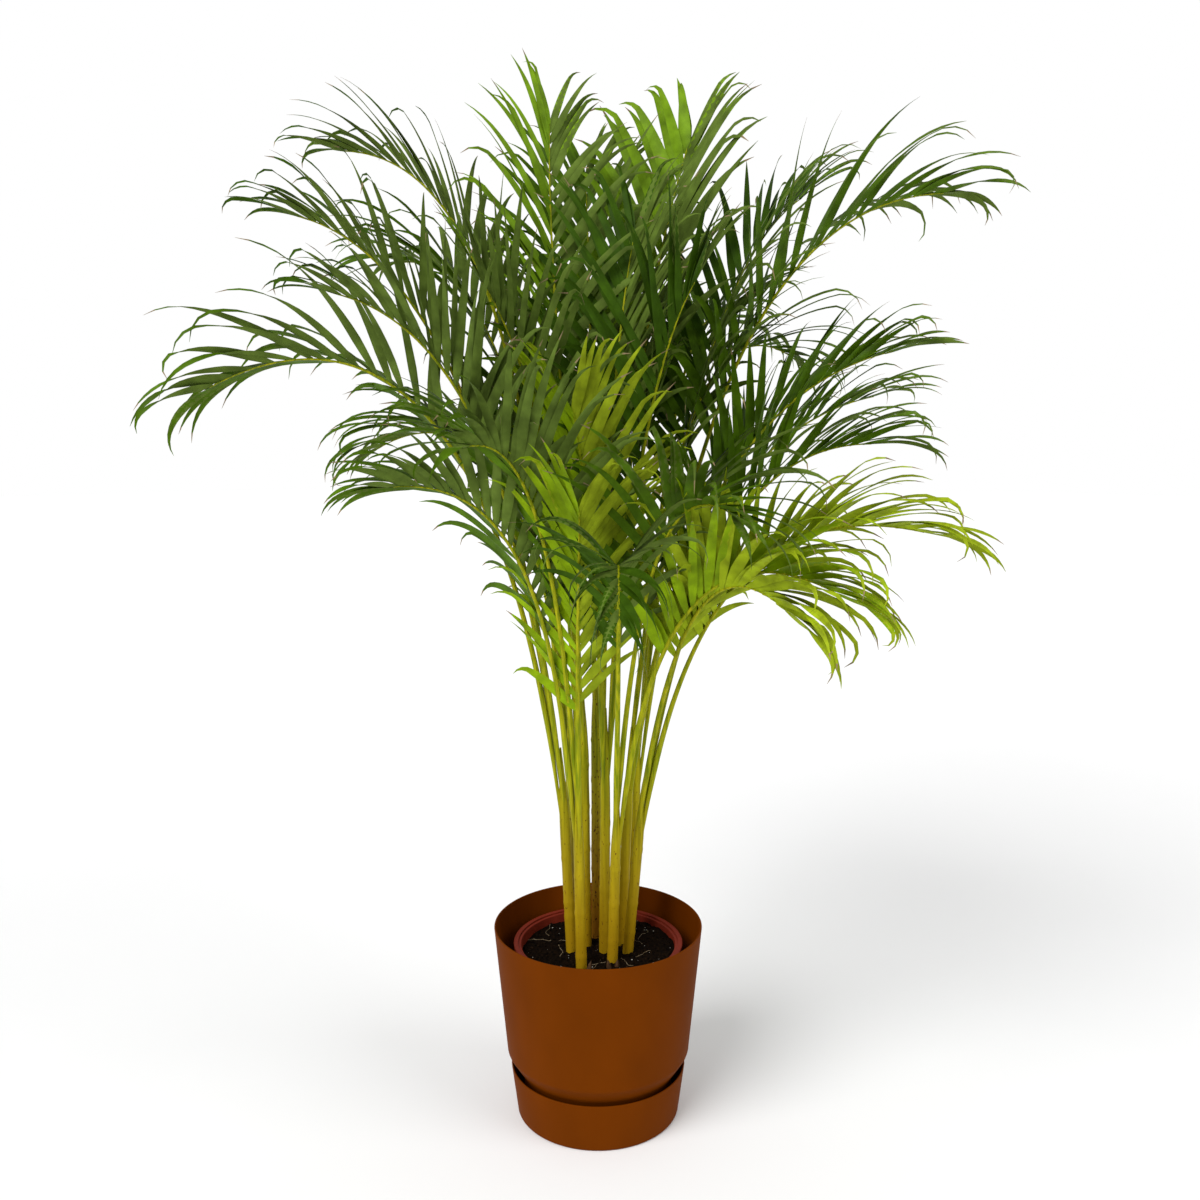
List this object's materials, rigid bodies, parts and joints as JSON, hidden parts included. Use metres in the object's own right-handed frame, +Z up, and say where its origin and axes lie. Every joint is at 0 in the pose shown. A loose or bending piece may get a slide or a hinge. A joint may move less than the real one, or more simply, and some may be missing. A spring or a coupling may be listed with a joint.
{
  "type": "potted areca palm",
  "caption": "Tall indoor palm with a clump of slim canes and arching feather fronds, growing in a nursery pot inside a round brown planter on a saucer.",
  "frame": {"origin": "middle of the saucer's flat underside, on the surface the plant stands on", "axes": "+Z up along the planter's axis, -Y towards the viewer of the picture, +X to the viewer's right"},
  "size_m": [1.1404, 0.8776, 1.4962],
  "materials": {
    "planter": "satin brown moulded plastic",
    "nursery_pot": "terracotta red moulded plastic",
    "soil": "dark moist potting compost",
    "cane_green": "smooth yellow-green stem",
    "cane_brown": "dry brown stem",
    "leaf_green": "satin green leaf",
    "leaf_bright": "satin yellow-green leaf"
  },
  "bodies": {
    "root": {"saucer": "planter", "planter": "planter", "nursery_pot": "nursery_pot", "soil": "soil", "cane_left": "cane_green", "cane_left_back": "cane_brown", "cane_front_left": "cane_green", "cane_mid_left": "cane_green", "cane_brown": "cane_brown", "cane_back_mid": "cane_green", "cane_middle": "cane_green", "cane_front_right": "cane_green", "cane_right": "cane_green", "cane_right_front": "cane_green", "cane_right_back": "cane_green", "cane_far_back": "cane_green", "frond_left_long": "leaf_green", "frond_left_high": "leaf_green", "frond_left_mid": "leaf_green", "frond_left_top": "leaf_green", "frond_back_left": "leaf_green", "frond_left_low": "leaf_green", "frond_front_second": "leaf_bright", "frond_front_left": "leaf_green", "frond_top_left": "leaf_green", "frond_left_inner": "leaf_green", "frond_back_up": "leaf_green", "frond_centre_up": "leaf_green", "frond_top_right": "leaf_green", "frond_back_far": "leaf_green", "frond_front_bright": "leaf_bright", "frond_upper_mid": "leaf_green", "frond_front_droop": "leaf_green", "frond_front_right": "leaf_green", "frond_right_under": "leaf_green", "frond_right_spear": "leaf_green", "frond_right_mid": "leaf_green", "frond_right_arch": "leaf_green", "frond_right_thin": "leaf_green", "frond_right_spread": "leaf_bright", "frond_right_low": "leaf_bright", "frond_right_long": "leaf_green", "frond_upper_right": "leaf_green", "frond_back_right": "leaf_green", "frond_back_low": "leaf_green", "frond_back_left_low": "leaf_green"}
  },
  "joints": []
}
